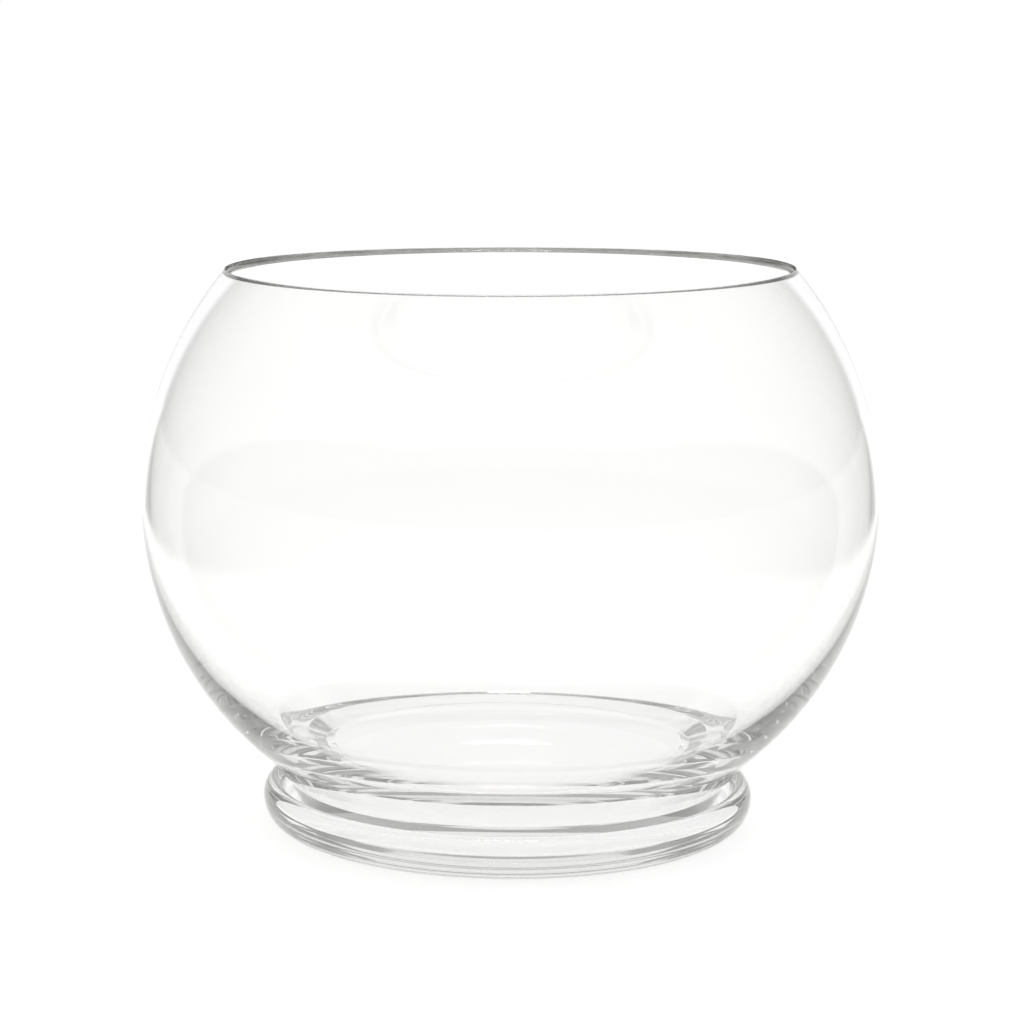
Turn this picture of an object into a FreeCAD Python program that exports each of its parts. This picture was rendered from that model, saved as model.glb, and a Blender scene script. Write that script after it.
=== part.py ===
import FreeCAD
import Part

import math
import os

# Rose bowl vase of clear glass: a blown bowl, joined hot through a collar to a cast foot.
# Lengths are in millimetres and +Z is up. The origin is on the table, under the middle of the vase.

# Collar: the solid tapered neck between foot and bowl, which the foot and the bowl's seat follow
collar_radius = 71.5
collar_flare = 4.0
collar_height = 8.0

# Foot: a solid round with a rolled rim, a shallow well on top for the collar, and a flat underside
foot_well_margin = 4.5
foot_flank_width = 4.2
foot_crest_inset = 3.7
foot_base_inset = 7.9
foot_widest_height = 9.4
foot_rim_crown = 5.4
foot_well_height = 8.0

# Bowl: the outside, up from the flat seat on the collar
heel_flare = 8.9
heel_rise = 10.2
belly_depth = 95.5
bowl_radius = 124.5
shoulder_height = 79.0

# Bowl: the fire-polished mouth
mouth_radius = 91.0
rim_width = 6.0
rim_crest_inset = 3.1
rim_outer_drop = 1.7
rim_inner_drop = 1.9

# Bowl: the inside
equator_wall = 3.0
inner_heel_flare = 14.0
inner_heel_rise = 9.5
floor_edge_inset = 13.5
floor_thickness = 3.0
floor_crown = 0.3

# The bowl stands a little out of true on its foot, turned about the centre of its widest ring
bowl_lean_degrees = 0.6

UP = FreeCAD.Vector(0, 0, 1)
DOWN = FreeCAD.Vector(0, 0, -1)
OUT = FreeCAD.Vector(1, 0, 0)
LEAN_AXIS = FreeCAD.Vector(0, -1, 0)

well_radius = collar_radius + foot_well_margin
crest_radius = well_radius + foot_flank_width
foot_radius = crest_radius + foot_crest_inset
base_radius = foot_radius - foot_base_inset
bowl_seat_radius = collar_radius + collar_flare
bowl_seat_height = foot_well_height + collar_height
equator_height = bowl_seat_height + belly_depth
vase_height = equator_height + shoulder_height


def point(radius, height):
    """A point of a half section, which lies on the +X side."""
    return FreeCAD.Vector(radius, 0, height)


def line(start, end):
    return Part.LineSegment(start, end).toShape()


def arc_leaving(start, heading, end):
    """The circular arc that leaves its start along a heading and ends at a point."""
    chord = end - start
    reach = chord.Length
    chord.normalize()
    turn = heading + chord
    middle = start + turn * (reach / turn.dot(turn))
    return Part.Arc(start, middle, end).toShape()


def quarter_round(centre, first, second):
    """A quarter of an ellipse about its centre, between the ends of its two half axes."""
    if (first - centre).Length < (second - centre).Length:
        first, second = second, first
    ellipse = Part.Ellipse(first, second, centre)
    return Part.ArcOfEllipse(ellipse, 0, math.radians(90)).toShape()


def turned(edges):
    """The solid that a half section makes when it is turned about the upright axis."""
    outline = Part.Wire(Part.__sortEdges__(edges))
    return Part.Face(outline).revolve(point(0, 0), UP)


def leaned(shape):
    """A copy of the shape, turned with the bowl's lean."""
    copy = shape.copy()
    copy.rotate(point(0, equator_height), LEAN_AXIS, bowl_lean_degrees)
    return copy


def make_foot():
    """The cast foot: a flat underside, a rolled rim and a shallow well for the collar."""
    base_centre = point(0, 0)
    base = point(base_radius, 0)
    side = point(foot_radius, foot_widest_height)
    crest = point(crest_radius, foot_widest_height + foot_rim_crown)
    well_edge = point(well_radius, foot_well_height)
    well_centre = point(0, foot_well_height)
    return turned([
        line(base_centre, base),
        quarter_round(point(base_radius, foot_widest_height), base, side),
        quarter_round(point(crest_radius, foot_widest_height), side, crest),
        quarter_round(point(crest_radius, foot_well_height), crest, well_edge),
        line(well_edge, well_centre),
        line(well_centre, base_centre),
    ])


def make_collar():
    """The collar: level on the foot's well, wider at its top, where it leans with the bowl's seat."""
    bottom = Part.Wire(Part.makeCircle(collar_radius, point(0, foot_well_height), UP))
    top = Part.Wire(Part.makeCircle(bowl_seat_radius, point(0, bowl_seat_height), UP))
    return Part.makeLoft([bottom, leaned(top)], True, True)


def make_bowl():
    """The blown bowl: seat, heel, belly and shoulder outside, round rim, and a thinner wall at the middle."""
    seat_centre = point(0, bowl_seat_height)
    seat_edge = point(bowl_seat_radius, bowl_seat_height)
    heel = point(bowl_seat_radius + heel_flare, bowl_seat_height + heel_rise)
    widest = point(bowl_radius, equator_height)
    rim_outside = point(mouth_radius + rim_width, vase_height - rim_outer_drop)
    rim_crest = point(mouth_radius + rim_crest_inset, vase_height)
    rim_inside = point(mouth_radius, vase_height - rim_inner_drop)
    widest_inside = point(bowl_radius - equator_wall, equator_height)
    floor_edge = point(bowl_seat_radius - floor_edge_inset, bowl_seat_height + floor_thickness)
    inner_heel = floor_edge + point(inner_heel_flare, inner_heel_rise)
    floor_centre = point(0, bowl_seat_height + floor_thickness + floor_crown)
    return leaned(turned([
        line(seat_centre, seat_edge),
        line(seat_edge, heel),
        arc_leaving(widest, DOWN, heel),
        arc_leaving(widest, UP, rim_outside),
        Part.Arc(rim_outside, rim_crest, rim_inside).toShape(),
        arc_leaving(widest_inside, UP, rim_inside),
        arc_leaving(widest_inside, DOWN, inner_heel),
        line(inner_heel, floor_edge),
        arc_leaving(floor_centre, OUT, floor_edge),
        line(floor_centre, seat_centre),
    ]))


os.makedirs("parts", exist_ok=True)
pieces = {
    "foot": make_foot(),
    "collar": make_collar(),
    "bowl": make_bowl(),
}
for node, solid in pieces.items():
    solid.exportStep("parts/" + node + ".step")
    print(node, "valid", solid.isValid(), "solids", len(solid.Solids), "volume", round(solid.Volume))
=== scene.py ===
import math

import bpy
from bpy.props import FloatProperty, IntProperty, PointerProperty, StringProperty
from mathutils import Matrix, Vector


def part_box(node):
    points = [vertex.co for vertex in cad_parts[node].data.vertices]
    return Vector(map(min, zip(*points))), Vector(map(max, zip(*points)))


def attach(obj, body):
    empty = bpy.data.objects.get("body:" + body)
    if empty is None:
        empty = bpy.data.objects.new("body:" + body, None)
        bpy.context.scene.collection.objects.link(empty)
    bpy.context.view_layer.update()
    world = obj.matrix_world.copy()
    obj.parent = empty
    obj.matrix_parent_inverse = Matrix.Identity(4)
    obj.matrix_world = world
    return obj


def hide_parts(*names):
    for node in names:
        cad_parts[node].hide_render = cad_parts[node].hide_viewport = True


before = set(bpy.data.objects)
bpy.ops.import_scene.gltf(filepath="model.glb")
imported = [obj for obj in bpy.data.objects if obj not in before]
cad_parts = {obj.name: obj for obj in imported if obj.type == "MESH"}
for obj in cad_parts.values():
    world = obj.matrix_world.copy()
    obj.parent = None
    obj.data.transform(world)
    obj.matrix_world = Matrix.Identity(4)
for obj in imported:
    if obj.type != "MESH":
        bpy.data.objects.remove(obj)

bl_info = {
    "name": "Rose bowl vase",
    "version": (1, 0, 0),
    "blender": (4, 5, 0),
    "location": "View3D > Sidebar > Vase",
    "description": "A clear glass rose bowl on a collar and a cast foot, with its studio table",
    "category": "Add Mesh",
}

PHOTO_SIDE = 1024
MM = 0.001
WHITE = (1.0, 1.0, 1.0, 1.0)

# Where two points count as one, and the angle between faces from which an edge is sharp
SAME_PLACE = 1e-7
SHARP_ANGLE = math.radians(30)

# The meshes' face attribute that is 1 where glass meets air and 0 where it is fused, and the gap at a fused joint
OPEN_SURFACE = "open_surface"
JOINT_GAP = 0.02 * MM

# Steps of the curves in the outlines
SHORT_STEPS = 24
FOOT_STEPS = 32
SHOULDER_STEPS = 64
BELLY_STEPS = 96

# The table, a hair below the foot, and the soft edge of the strip of painted light on it, from inside to outside
TABLE_REACH = 12.0
TABLE_SIDES = 96
TABLE_GAP = 0.05 * MM
PAINTED_LIGHT_EDGE = (-0.02, 0.06)

# Soft edges of the backdrop: a part of the cosine at its sides, and sines of the angles at its top
BACKDROP_EDGE = 0.03
BACKDROP_TOP = (0.55, 0.85)

# How often light may turn in the glass, and how many fused joints it may cross
GUIDED_BOUNCES = 256
JOINT_CROSSINGS = 32

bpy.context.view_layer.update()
BOWL_LOW, BOWL_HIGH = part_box("bowl")
COLLAR_LOW, COLLAR_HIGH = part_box("collar")
FOOT_LOW, FOOT_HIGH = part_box("foot")


# Settings that a user would change

class VaseShape(bpy.types.PropertyGroup):
    """Sizes of the three pieces of glass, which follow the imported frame"""

    bowl_radius: FloatProperty(
        name="Bowl radius",
        description="Radius of the widest ring outside",
        default=(BOWL_HIGH.y - BOWL_LOW.y) / 2 - 0.05 * MM,
        unit="LENGTH",
    )
    equator_height: FloatProperty(
        name="Height of the widest ring",
        description="Height of the widest ring above the table",
        default=111.5 * MM,
        unit="LENGTH",
    )
    vase_height: FloatProperty(
        name="Vase height",
        description="Height of the mouth's crest above the table before the bowl leans",
        default=190.5 * MM,
        unit="LENGTH",
    )
    mouth_radius: FloatProperty(
        name="Mouth radius",
        description="Radius of the opening at its rounded rim",
        default=93.3 * MM,
        unit="LENGTH",
    )
    rim_width: FloatProperty(
        name="Rim width",
        description="Width of the fire-polished rim, from the outside to the inside",
        default=2.1 * MM,
        unit="LENGTH",
    )
    rim_crest_inset: FloatProperty(
        name="Rim crest inset",
        description="Distance of the rim's crest from its inner edge",
        default=1.05 * MM,
        unit="LENGTH",
    )
    rim_outer_drop: FloatProperty(
        name="Rim outer drop",
        description="Height of the rim's crest above its outer edge",
        default=0.5 * MM,
        unit="LENGTH",
    )
    rim_inner_drop: FloatProperty(
        name="Rim inner drop",
        description="Height of the rim's crest above its inner edge",
        default=2.3 * MM,
        unit="LENGTH",
    )
    equator_wall: FloatProperty(
        name="Wall at the middle",
        description="Thickness of the bowl's wall at its widest ring",
        default=3.0 * MM,
        unit="LENGTH",
    )
    floor_radius: FloatProperty(
        name="Floor radius",
        description="Radius of the bowl's floor inside, where the wall begins to rise",
        default=62.0 * MM,
        unit="LENGTH",
    )
    heel_inside_out: FloatProperty(
        name="Inner heel out",
        description="How far outside the floor's edge the inner wall begins to curve",
        default=14.0 * MM,
        unit="LENGTH",
    )
    heel_inside_rise: FloatProperty(
        name="Inner heel rise",
        description="How far above the floor's edge the inner wall begins to curve",
        default=9.5 * MM,
        unit="LENGTH",
    )
    floor_thickness: FloatProperty(
        name="Floor thickness",
        description="Thickness of the glass at the edge of the bowl's floor",
        default=3.0 * MM,
        unit="LENGTH",
    )
    floor_crown: FloatProperty(
        name="Floor crown",
        description="Rise of the floor from its edge to its middle",
        default=0.3 * MM,
        unit="LENGTH",
    )
    seat_height: FloatProperty(
        name="Seat height",
        description="Height of the bowl's flat underside above the table",
        default=16.0 * MM,
        unit="LENGTH",
    )
    heel_flare: FloatProperty(
        name="Heel flare",
        description="How far the straight heel widens before the belly begins",
        default=8.9 * MM,
        unit="LENGTH",
    )
    heel_rise: FloatProperty(
        name="Heel rise",
        description="Height of the straight heel above the bowl's underside",
        default=10.2 * MM,
        unit="LENGTH",
    )
    collar_radius: FloatProperty(
        name="Collar radius",
        description="Outer radius of the collar where it stands on the foot",
        default=71.5 * MM,
        unit="LENGTH",
    )
    collar_flare: FloatProperty(
        name="Collar flare",
        description="How far the collar widens up to the bowl's underside",
        default=4.0 * MM,
        unit="LENGTH",
    )
    well_height: FloatProperty(
        name="Well height",
        description="Height of the foot's shallow well, on which the collar stands",
        default=COLLAR_LOW.z,
        unit="LENGTH",
    )
    well_margin: FloatProperty(
        name="Well margin",
        description="Width of the bare ring of the well round the collar",
        default=4.5 * MM,
        unit="LENGTH",
    )
    flank_width: FloatProperty(
        name="Flank width",
        description="Width of the foot rim's inner flank, from the well to its crest",
        default=4.2 * MM,
        unit="LENGTH",
    )
    foot_radius: FloatProperty(
        name="Foot radius",
        description="Widest radius of the cast foot",
        default=FOOT_HIGH.y,
        unit="LENGTH",
    )
    foot_crest: FloatProperty(
        name="Foot crest",
        description="Height of the foot's rolled rim",
        default=FOOT_HIGH.z,
        unit="LENGTH",
    )
    foot_widest_height: FloatProperty(
        name="Height of the foot's widest ring",
        description="Height at which the foot is widest",
        default=9.4 * MM,
        unit="LENGTH",
    )
    foot_base_inset: FloatProperty(
        name="Foot base inset",
        description="How far the edge of the flat underside lies inside the foot's widest ring",
        default=7.9 * MM,
        unit="LENGTH",
    )
    lean: FloatProperty(
        name="Lean",
        description="Lean of the bowl on its foot, towards -X",
        default=math.radians(0.6),
        subtype="ANGLE",
    )
    full_lean_height: FloatProperty(
        name="Height of the full lean",
        description="Height above the table from which the bowl leans fully; below it the lean fades to the level seat",
        default=60.0 * MM,
        unit="LENGTH",
    )
    segments: IntProperty(
        name="Segments",
        description="Number of steps round each turned piece",
        default=768,
    )


class VaseGlass(bpy.types.PropertyGroup):
    """Look of the glass"""

    tint: StringProperty(
        name="Tint",
        description="sRGB hex colour that white light takes on its way through thick glass",
        default="#EEEEED",
    )
    tint_depth: FloatProperty(
        name="Tint depth",
        description="Length of glass that gives the tint",
        default=120.0 * MM,
        unit="LENGTH",
    )
    ior: FloatProperty(
        name="Index of refraction",
        description="Soda-lime glass lies between 1.51 and 1.53",
        default=1.52,
    )


class VaseStudio(bpy.types.PropertyGroup):
    """Table, light and camera"""

    table: StringProperty(
        name="Table colour",
        description="sRGB hex colour of the opal table",
        default="#CDCDCB",
    )
    # Painted light: the table glows bright over a strip under and behind the vase, and dim beside it as painted shade
    painted_light_glow: FloatProperty(
        name="Table glow",
        description="Brightness of the light that comes up through the opal table",
        default=0.765,
    )
    painted_surround_glow: FloatProperty(
        name="Surround glow",
        description="Brightness of the table beside the lit sweep",
        default=0.2,
    )
    # Size of the strip of painted light on the table
    painted_light_width: FloatProperty(
        name="Sweep width",
        description="Half the width of the lit sweep that runs under the vase",
        default=0.37,
        unit="LENGTH",
    )
    painted_light_front: FloatProperty(
        name="Sweep front",
        description="How far the lit sweep reaches in front of the vase",
        default=0.5,
        unit="LENGTH",
    )
    backdrop_strength: FloatProperty(
        name="Backdrop strength",
        description="Brightness of the white backdrop behind the vase",
        default=1.0,
    )
    backdrop_reach: FloatProperty(
        name="Backdrop reach",
        description="Angle from the middle of the backdrop, behind the vase, to its edge",
        default=math.radians(31.0),
        subtype="ANGLE",
    )
    side_strength: FloatProperty(
        name="Side strength",
        description="Brightness of the studio's walls on the other sides",
        default=0.3,
    )
    ceiling_strength: FloatProperty(
        name="Ceiling strength",
        description="Brightness of the ceiling",
        default=0.5,
    )
    wall_top: FloatProperty(
        name="Wall top",
        description="Sine of the angle at which the walls begin to pass into the ceiling",
        default=0.3,
    )
    ceiling_start: FloatProperty(
        name="Ceiling start",
        description="Sine of the angle at which only the ceiling is left",
        default=0.7,
    )
    softbox_power: FloatProperty(
        name="Softbox power",
        description="Power of the strip softbox over the vase",
        default=1.7,
        unit="POWER",
    )
    softbox_length: FloatProperty(
        name="Softbox length",
        description="Length of the strip softbox",
        default=0.3,
        unit="LENGTH",
    )
    softbox_width: FloatProperty(
        name="Softbox width",
        description="Width of the strip softbox",
        default=0.06,
        unit="LENGTH",
    )
    softbox_height: FloatProperty(
        name="Softbox height",
        description="Height of the strip softbox above the table",
        default=1.2,
        unit="LENGTH",
    )
    softbox_behind: FloatProperty(
        name="Softbox behind",
        description="How far behind the vase's axis the strip softbox hangs",
        default=0.12,
        unit="LENGTH",
    )
    camera_distance: FloatProperty(
        name="Camera distance",
        description="Level distance of the camera from the vase's axis",
        default=0.987,
        unit="LENGTH",
    )
    camera_height: FloatProperty(
        name="Camera height",
        description="Height of the camera above the table",
        default=0.270,
        unit="LENGTH",
    )
    camera_pitch: FloatProperty(
        name="Camera pitch",
        description="Angle that the camera looks down",
        default=math.radians(10.0),
        subtype="ANGLE",
    )
    camera_roll: FloatProperty(
        name="Camera roll",
        description="Turn of the camera about its own line of sight",
        default=math.radians(0.6),
        subtype="ANGLE",
    )
    focal_pixels: FloatProperty(
        name="Focal length in pixels",
        description="Focal length, measured in pixels of the square photograph",
        default=2942.0,
    )
    middle_x: FloatProperty(
        name="Middle column",
        description="Pixel column of the photograph that the camera's axis meets",
        default=510.0,
    )
    middle_y: FloatProperty(
        name="Middle row",
        description="Pixel row of the photograph that the camera's axis meets",
        default=542.8,
    )


# Materials

def linear(hex_colour):
    """A linear RGBA colour from an sRGB hex value."""
    channels = []
    for start in (1, 3, 5):
        value = int(hex_colour[start:start + 2], 16) / 255
        channels.append(value / 12.92 if value <= 0.04045 else ((value + 0.055) / 1.055) ** 2.4)
    return (*channels, 1.0)


def add_node(tree, kind, settings=None, links=None):
    """A new node. Settings name its sockets and properties, links name sockets; a socket may go by its number."""
    node = tree.nodes.new(kind)
    for key, value in (settings or {}).items():
        if isinstance(key, int) or key in node.inputs:
            node.inputs[key].default_value = value
        else:
            setattr(node, key, value)
    for key, source in (links or {}).items():
        tree.links.new(source, node.inputs[key])
    return node


def empty_material(name):
    """A new material with an empty node tree."""
    material = bpy.data.materials.new(name)
    material.use_nodes = True
    material.node_tree.nodes.clear()
    return material


def fire_polished_glass(name):
    """Clear soda-lime glass, shaped hot and fire-polished: smooth and colourless, grey only where it is thick.

    Where two pieces are fused no surface is left, so nothing shows there and the light goes straight on.
    """
    glass = bpy.context.scene.vase_glass
    material = empty_material(name)
    tree = material.node_tree
    open_surface = add_node(tree, "ShaderNodeAttribute", {"attribute_name": OPEN_SURFACE})
    surface = add_node(
        tree,
        "ShaderNodeBsdfPrincipled",
        {"Base Color": WHITE, "Roughness": 0.0, "IOR": glass.ior, "Transmission Weight": 1.0},
        {"Alpha": open_surface.outputs["Fac"]},
    )
    absorbed = [-math.log(channel) / glass.tint_depth for channel in linear(glass.tint)[:3]]
    densest = max(absorbed)
    body = add_node(
        tree,
        "ShaderNodeVolumeAbsorption",
        {"Color": (*[1 - value / densest for value in absorbed], 1.0), "Density": densest},
    )
    add_node(
        tree,
        "ShaderNodeOutputMaterial",
        links={"Surface": surface.outputs["BSDF"], "Volume": body.outputs["Volume"]},
    )
    return material


def distance_outside_painted_light(tree, studio):
    """A socket with the distance outside the strip of painted light on the table, which fans out behind the vase. It is
    negative inside.
    """
    place = add_node(tree, "ShaderNodeTexCoord")
    spot = add_node(tree, "ShaderNodeSeparateXYZ", links={"Vector": place.outputs["Object"]})
    aside = add_node(tree, "ShaderNodeMath", {"operation": "ABSOLUTE"}, {0: spot.outputs["X"]})
    fan = add_node(
        tree,
        "ShaderNodeMath",
        {"operation": "MULTIPLY", 1: math.tan(studio.backdrop_reach)},
        {0: spot.outputs["Y"]},
    )
    half_width = add_node(
        tree,
        "ShaderNodeMath",
        {"operation": "MAXIMUM", 1: studio.painted_light_width},
        {0: fan.outputs["Value"]},
    )
    beside = add_node(
        tree,
        "ShaderNodeMath",
        {"operation": "SUBTRACT"},
        {0: aside.outputs["Value"], 1: half_width.outputs["Value"]},
    )
    before = add_node(
        tree,
        "ShaderNodeMath",
        {"operation": "SUBTRACT", 0: -studio.painted_light_front},
        {1: spot.outputs["Y"]},
    )
    outside = add_node(
        tree,
        "ShaderNodeMath",
        {"operation": "MAXIMUM"},
        {0: beside.outputs["Value"], 1: before.outputs["Value"]},
    )
    return outside.outputs["Value"]


def opal_acrylic_with_painted_light():
    """Opal acrylic sheet, cast, matt and pale. Its glow is painted light: bright in a strip under and behind the vase,
    dim beside it as painted shade, so that things on it hardly throw a shadow.
    """
    studio = bpy.context.scene.vase_studio
    material = empty_material("opal_acrylic_with_painted_light")
    material.cycles.emission_sampling = "NONE"
    tree = material.node_tree
    # Painted light: the glow is bright inside the strip and dim outside it
    glow = add_node(
        tree,
        "ShaderNodeMapRange",
        {
            "interpolation_type": "SMOOTHSTEP",
            "From Min": PAINTED_LIGHT_EDGE[0],
            "From Max": PAINTED_LIGHT_EDGE[1],
            "To Min": studio.painted_light_glow,
            "To Max": studio.painted_surround_glow,
        },
        {"Value": distance_outside_painted_light(tree, studio)},
    )
    surface = add_node(
        tree,
        "ShaderNodeBsdfPrincipled",
        {
            "Base Color": linear(studio.table),
            "Roughness": 0.9,
            "Specular IOR Level": 0.0,
            "Emission Color": WHITE,
        },
        {"Emission Strength": glow.outputs["Result"]},
    )
    add_node(tree, "ShaderNodeOutputMaterial", links={"Surface": surface.outputs["BSDF"]})
    return material


# Half sections, as lists of (radius, height)

def circle_between(start, middle, end, steps):
    """Points of the circular arc through three points."""
    (x1, y1), (x2, y2), (x3, y3) = start, middle, end
    cross = 2 * (x1 * (y2 - y3) + x2 * (y3 - y1) + x3 * (y1 - y2))
    squares = [x * x + y * y for x, y in (start, middle, end)]
    centre_x = (squares[0] * (y2 - y3) + squares[1] * (y3 - y1) + squares[2] * (y1 - y2)) / cross
    centre_y = (squares[0] * (x3 - x2) + squares[1] * (x1 - x3) + squares[2] * (x2 - x1)) / cross
    radius = math.hypot(x1 - centre_x, y1 - centre_y)
    first = math.atan2(y1 - centre_y, x1 - centre_x)
    last = math.atan2(y3 - centre_y, x3 - centre_x)
    sweep = (last - first + math.pi) % math.tau - math.pi
    angles = [first + sweep * step / steps for step in range(steps + 1)]
    return [(centre_x + radius * math.cos(angle), centre_y + radius * math.sin(angle)) for angle in angles]


def arc_leaving(start, heading, end, steps):
    """Points of the circular arc that leaves its start along a heading and ends at a point."""
    chord = Vector(end) - Vector(start)
    turn = Vector(heading) + chord.normalized()
    middle = Vector(start) + turn * (chord.length / turn.dot(turn))
    return circle_between(start, tuple(middle), end, steps)


def quarter_round(centre, first, second, steps):
    """Points of a quarter of an ellipse about its centre, from the end of one half axis to the end of the other."""
    points = []
    for step in range(steps + 1):
        angle = math.pi / 2 * step / steps
        points.append(tuple(
            middle + (a - middle) * math.cos(angle) + (b - middle) * math.sin(angle)
            for middle, a, b in zip(centre, first, second)
        ))
    return points


def straight(start, end, steps):
    """Points of a straight line, so close together that the smooth shading of its ends doesn't spread along it."""
    return [tuple(a + (b - a) * step / steps for a, b in zip(start, end)) for step in range(steps + 1)]


def joined(*runs):
    """One outline from several runs of points, each shared end once."""
    outline = []
    for run in runs:
        for spot in run:
            if not outline or math.dist(spot, outline[-1]) > SAME_PLACE:
                outline.append(spot)
    return outline


def level_at(start, end, height):
    """Whether a step of an outline lies flat at a height."""
    return abs(start[1] - height) + abs(end[1] - height) < SAME_PLACE


def bowl_outline(shape):
    """The bowl: seat, heel and belly outside, round rim, then the thinner wall and the floor inside."""
    seat = shape.seat_height
    seat_radius = shape.collar_radius + shape.collar_flare
    heel = (seat_radius + shape.heel_flare, seat + shape.heel_rise)
    widest = (shape.bowl_radius, shape.equator_height)
    widest_inside = (shape.bowl_radius - shape.equator_wall, shape.equator_height)
    rim_outside = (shape.mouth_radius + shape.rim_width, shape.vase_height - shape.rim_outer_drop)
    rim_crest = (shape.mouth_radius + shape.rim_crest_inset, shape.vase_height)
    rim_inside = (shape.mouth_radius, shape.vase_height - shape.rim_inner_drop)
    floor_edge = (shape.floor_radius, seat + shape.floor_thickness)
    heel_inside = (floor_edge[0] + shape.heel_inside_out, floor_edge[1] + shape.heel_inside_rise)
    floor_middle = (0.0, seat + shape.floor_thickness + shape.floor_crown)
    return joined(
        [(0.0, seat)],
        straight((seat_radius, seat), heel, SHORT_STEPS),
        arc_leaving(widest, (0, -1), heel, BELLY_STEPS)[::-1],
        arc_leaving(widest, (0, 1), rim_outside, SHOULDER_STEPS),
        circle_between(rim_outside, rim_crest, rim_inside, SHORT_STEPS),
        arc_leaving(widest_inside, (0, 1), rim_inside, SHOULDER_STEPS)[::-1],
        arc_leaving(widest_inside, (0, -1), heel_inside, BELLY_STEPS),
        straight(heel_inside, floor_edge, SHORT_STEPS),
        arc_leaving(floor_middle, (1, 0), floor_edge, SHORT_STEPS)[::-1],
    )


def collar_outline(shape):
    """The collar: a solid taper that ends a hair short of the foot and the bowl, so that no two faces coincide."""
    bottom = shape.well_height + JOINT_GAP
    top = shape.seat_height - JOINT_GAP
    top_radius = shape.collar_radius + shape.collar_flare
    return [(0.0, bottom), (shape.collar_radius, bottom), (top_radius, top), (0.0, top)]


def foot_outline(shape):
    """The foot: flat underside, rolled rim and the shallow well on top."""
    base_radius = shape.foot_radius - shape.foot_base_inset
    well_radius = shape.collar_radius + shape.well_margin
    crest_radius = well_radius + shape.flank_width
    base = (base_radius, 0.0)
    widest = (shape.foot_radius, shape.foot_widest_height)
    crest = (crest_radius, shape.foot_crest)
    well_edge = (well_radius, shape.well_height)
    return joined(
        [(0.0, 0.0), base],
        quarter_round((base_radius, shape.foot_widest_height), base, widest, FOOT_STEPS),
        quarter_round((crest_radius, shape.foot_widest_height), widest, crest, SHORT_STEPS),
        quarter_round((crest_radius, shape.well_height), crest, well_edge, SHORT_STEPS),
        [(shape.collar_radius, shape.well_height), (0.0, shape.well_height)],
    )


# Meshes

def turned_piece(name, outline, material, is_joint):
    """A closed mesh, turned from a half section that starts and ends on the axis. is_joint picks its fused steps."""
    segments = bpy.context.scene.vase_shape.segments
    circle = [(math.cos(math.tau * k / segments), math.sin(math.tau * k / segments)) for k in range(segments)]
    points, rings = [], []
    for radius, height in outline:
        if radius < SAME_PLACE:
            rings.append([len(points)])
            points.append((0.0, 0.0, height))
        else:
            rings.append(list(range(len(points), len(points) + segments)))
            points.extend((radius * c, radius * s, height) for c, s in circle)
    faces, openness = [], []
    for step in range(len(outline) - 1):
        low, high = rings[step], rings[step + 1]
        openness += [0.0 if is_joint(outline[step], outline[step + 1]) else 1.0] * segments
        for k in range(segments):
            after = (k + 1) % segments
            if len(low) == 1:
                faces.append((low[0], high[after], high[k]))
            elif len(high) == 1:
                faces.append((low[k], low[after], high[0]))
            else:
                faces.append((low[k], low[after], high[after], high[k]))
    mesh = bpy.data.meshes.new(name)
    mesh.from_pydata(points, [], faces)
    mesh.materials.append(material)
    mesh.attributes.new(OPEN_SURFACE, "FLOAT", "FACE").data.foreach_set("value", openness)
    mesh.polygons.foreach_set("use_smooth", [True] * len(faces))
    mesh.update()
    mesh.set_sharp_from_angle(angle=SHARP_ANGLE)
    piece = bpy.data.objects.new(name, mesh)
    bpy.context.scene.collection.objects.link(piece)
    return piece


def lean_points(mesh, shape):
    """Leans the bowl's mesh about its middle: not at all at its seat, and fully from some way up."""
    middle = Vector((0, 0, shape.equator_height))
    turn = Matrix.Rotation(-shape.lean, 3, "Y")
    fade = shape.full_lean_height - shape.seat_height
    for vertex in mesh.vertices:
        share = min(1, max(0, (vertex.co.z - shape.seat_height) / fade))
        leaned = turn @ (vertex.co - middle) + middle
        vertex.co = vertex.co.lerp(leaned, share)


def settle(piece, node):
    """Gives a piece its place in the frame: its body and the node that it stands for."""
    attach(piece, "root")
    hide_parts(node)


class VASE_OT_bowl(bpy.types.Operator):
    """Blow the bowl: one closed piece of glass, leaning a little on its foot"""

    bl_idname = "vase.bowl"
    bl_label = "Bowl"

    def execute(self, context):
        shape = context.scene.vase_shape

        def on_collar(start, end):
            return level_at(start, end, shape.seat_height)

        glass = fire_polished_glass("blown_soda_lime_glass")
        bowl = turned_piece("blown_bowl", bowl_outline(shape), glass, on_collar)
        lean_points(bowl.data, shape)
        settle(bowl, "bowl")
        return {"FINISHED"}


class VASE_OT_collar(bpy.types.Operator):
    """Set the collar: the short neck of glass that joins the bowl to its foot"""

    bl_idname = "vase.collar"
    bl_label = "Collar"

    def execute(self, context):
        shape = context.scene.vase_shape

        def end_face(start, end):
            return level_at(start, end, start[1])

        glass = fire_polished_glass("hot_worked_soda_lime_glass")
        collar = turned_piece("joining_collar", collar_outline(shape), glass, end_face)
        settle(collar, "collar")
        return {"FINISHED"}


class VASE_OT_foot(bpy.types.Operator):
    """Cast the foot: a solid round with a rolled rim and a flat underside"""

    bl_idname = "vase.foot"
    bl_label = "Foot"

    def execute(self, context):
        shape = context.scene.vase_shape

        def under_collar(start, end):
            within = max(start[0], end[0]) < shape.collar_radius + SAME_PLACE
            return within and level_at(start, end, shape.well_height)

        glass = fire_polished_glass("cast_soda_lime_glass")
        foot = turned_piece("cast_foot", foot_outline(shape), glass, under_collar)
        settle(foot, "foot")
        return {"FINISHED"}


# Table, light and camera

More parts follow.
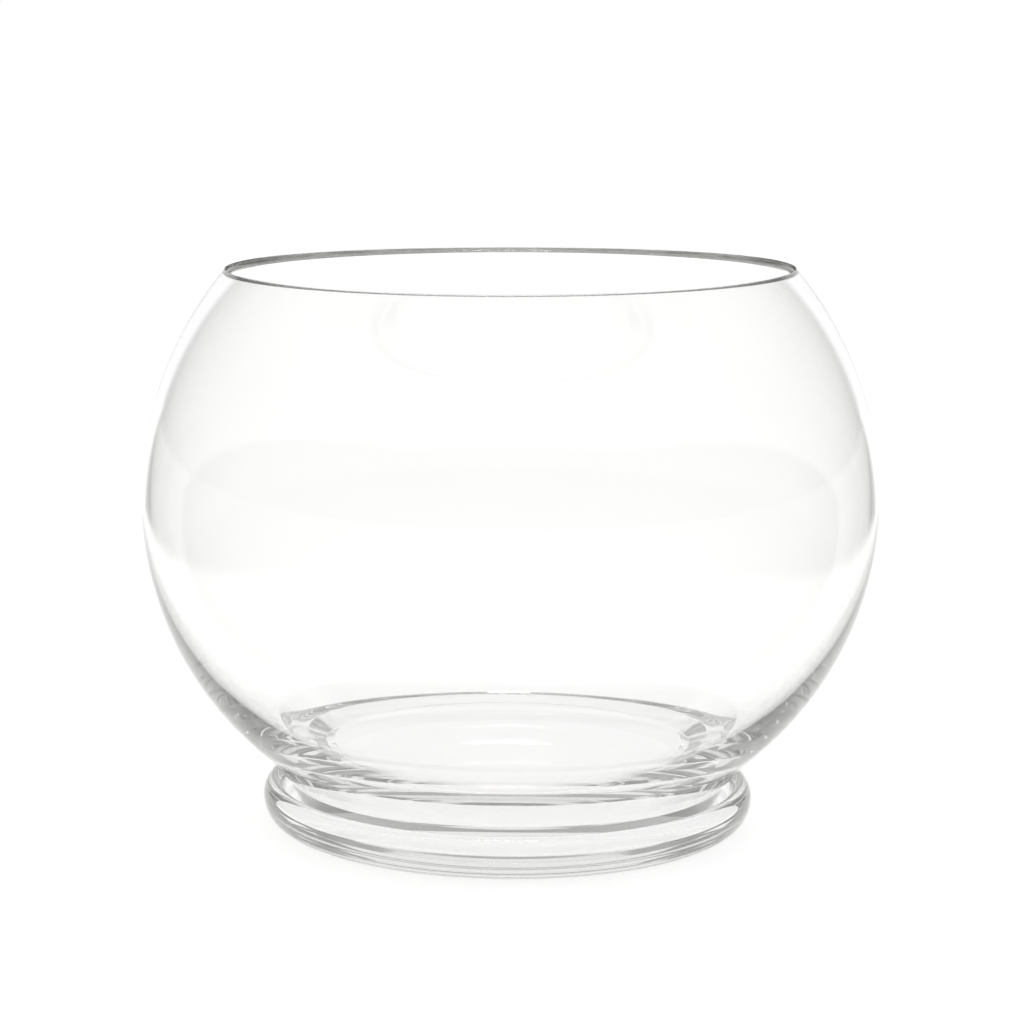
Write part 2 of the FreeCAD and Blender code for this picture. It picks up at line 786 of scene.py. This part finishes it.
def add_table():
    """A wide round table, flat and pale, just under the foot."""
    angles = [math.tau * k / TABLE_SIDES for k in range(TABLE_SIDES)]
    rim = [(TABLE_REACH * math.cos(angle), TABLE_REACH * math.sin(angle), 0.0) for angle in angles]
    faces = [(0, 1 + k, 1 + (k + 1) % TABLE_SIDES) for k in range(TABLE_SIDES)]
    mesh = bpy.data.meshes.new("studio_table")
    mesh.from_pydata([(0.0, 0.0, 0.0)] + rim, [], faces)
    mesh.materials.append(opal_acrylic_with_painted_light())
    table = bpy.data.objects.new("studio_table", mesh)
    table.location.z = -TABLE_GAP
    bpy.context.scene.collection.objects.link(table)


def add_room(studio):
    """A white backdrop behind the vase, pale walls on the other sides and the ceiling over them."""
    room = bpy.data.worlds.new("studio_room")
    room.use_nodes = True
    tree = room.node_tree
    tree.nodes.clear()
    place = add_node(tree, "ShaderNodeTexCoord")
    direction = add_node(tree, "ShaderNodeSeparateXYZ", links={"Vector": place.outputs["Generated"]})
    walls = add_node(
        tree,
        "ShaderNodeMapRange",
        {
            "interpolation_type": "SMOOTHSTEP",
            "From Min": studio.wall_top,
            "From Max": studio.ceiling_start,
            "To Min": studio.side_strength,
            "To Max": studio.ceiling_strength,
        },
        {"Value": direction.outputs["Z"]},
    )
    level = add_node(
        tree,
        "ShaderNodeCombineXYZ",
        links={"X": direction.outputs["X"], "Y": direction.outputs["Y"]},
    )
    bearing = add_node(tree, "ShaderNodeVectorMath", {"operation": "NORMALIZE"}, {0: level.outputs["Vector"]})
    behind = add_node(tree, "ShaderNodeSeparateXYZ", links={"Vector": bearing.outputs["Vector"]})
    edge = math.cos(studio.backdrop_reach)
    across = add_node(
        tree,
        "ShaderNodeMapRange",
        {
            "interpolation_type": "SMOOTHSTEP",
            "From Min": edge - BACKDROP_EDGE,
            "From Max": edge + BACKDROP_EDGE,
        },
        {"Value": behind.outputs["Y"]},
    )
    hanging = add_node(
        tree,
        "ShaderNodeMapRange",
        {
            "interpolation_type": "SMOOTHSTEP",
            "From Min": BACKDROP_TOP[0],
            "From Max": BACKDROP_TOP[1],
            "To Min": 1.0,
            "To Max": 0.0,
        },
        {"Value": direction.outputs["Z"]},
    )
    backdrop = add_node(
        tree,
        "ShaderNodeMath",
        {"operation": "MULTIPLY"},
        {0: across.outputs["Result"], 1: hanging.outputs["Result"]},
    )
    brightness = add_node(
        tree,
        "ShaderNodeMix",
        {"B": studio.backdrop_strength},
        {"Factor": backdrop.outputs["Value"], "A": walls.outputs["Result"]},
    )
    glow = add_node(tree, "ShaderNodeBackground", {"Color": WHITE}, {"Strength": brightness.outputs["Result"]})
    add_node(tree, "ShaderNodeOutputWorld", links={"Surface": glow.outputs["Background"]})
    bpy.context.scene.world = room


def add_softbox(studio):
    """A strip softbox over the vase that shines at its foot."""
    light = bpy.data.lights.new("overhead_softbox", "AREA")
    light.shape = "RECTANGLE"
    light.size = studio.softbox_length
    light.size_y = studio.softbox_width
    light.energy = studio.softbox_power
    place = Vector((0.0, studio.softbox_behind, studio.softbox_height))
    box = bpy.data.objects.new("overhead_softbox", light)
    box.location = place
    box.rotation_euler = (-place).to_track_quat("-Z", "Y").to_euler()
    bpy.context.scene.collection.objects.link(box)


def add_camera(studio):
    """The photograph's camera, from its measured place, pitch and roll."""
    lens = bpy.data.cameras.new("camera")
    lens.lens = studio.focal_pixels * lens.sensor_width / PHOTO_SIDE
    lens.shift_x = (PHOTO_SIDE / 2 - studio.middle_x) / PHOTO_SIDE
    lens.shift_y = (studio.middle_y - PHOTO_SIDE / 2) / PHOTO_SIDE
    camera = bpy.data.objects.new("camera", lens)
    bpy.context.scene.collection.objects.link(camera)
    place = Matrix.Translation((0, -studio.camera_distance, studio.camera_height))
    tilt = Matrix.Rotation(math.pi / 2 - studio.camera_pitch, 4, "X")
    roll = Matrix.Rotation(studio.camera_roll, 4, "Z")
    camera.matrix_world = place @ tilt @ roll
    bpy.context.scene.camera = camera


class VASE_OT_stage(bpy.types.Operator):
    """Set the table, the light and the camera"""

    bl_idname = "vase.stage"
    bl_label = "Stage"

    def execute(self, context):
        scene = context.scene
        add_table()
        add_room(scene.vase_studio)
        add_softbox(scene.vase_studio)
        add_camera(scene.vase_studio)
        scene.view_settings.view_transform = "Standard"
        # Light that the thin wall guides down from the rim turns back and forth many times before it leaves the glass
        scene.cycles.max_bounces = GUIDED_BOUNCES
        scene.cycles.transmission_bounces = GUIDED_BOUNCES
        scene.cycles.glossy_bounces = GUIDED_BOUNCES
        scene.cycles.transparent_max_bounces = JOINT_CROSSINGS
        scene.cycles.sample_clamp_indirect = 10
        return {"FINISHED"}


class VASE_PT_panel(bpy.types.Panel):
    """The pieces of the vase and its stage"""

    bl_label = "Rose bowl vase"
    bl_idname = "VASE_PT_panel"
    bl_space_type = "VIEW_3D"
    bl_region_type = "UI"
    bl_category = "Vase"

    def draw(self, context):
        for operator in OPERATORS:
            self.layout.operator(operator.bl_idname)


GROUPS = {"vase_shape": VaseShape, "vase_glass": VaseGlass, "vase_studio": VaseStudio}
OPERATORS = (VASE_OT_bowl, VASE_OT_collar, VASE_OT_foot, VASE_OT_stage)


def register():
    for name, group in GROUPS.items():
        bpy.utils.register_class(group)
        setattr(bpy.types.Scene, name, PointerProperty(type=group))
    for operator in OPERATORS:
        bpy.utils.register_class(operator)
    bpy.utils.register_class(VASE_PT_panel)


def unregister():
    bpy.utils.unregister_class(VASE_PT_panel)
    for operator in reversed(OPERATORS):
        bpy.utils.unregister_class(operator)
    for name, group in reversed(GROUPS.items()):
        delattr(bpy.types.Scene, name)
        bpy.utils.unregister_class(group)


def main():
    register()
    bpy.ops.vase.bowl()
    bpy.ops.vase.collar()
    bpy.ops.vase.foot()
    bpy.ops.vase.stage()


if __name__ == "__main__":
    main()
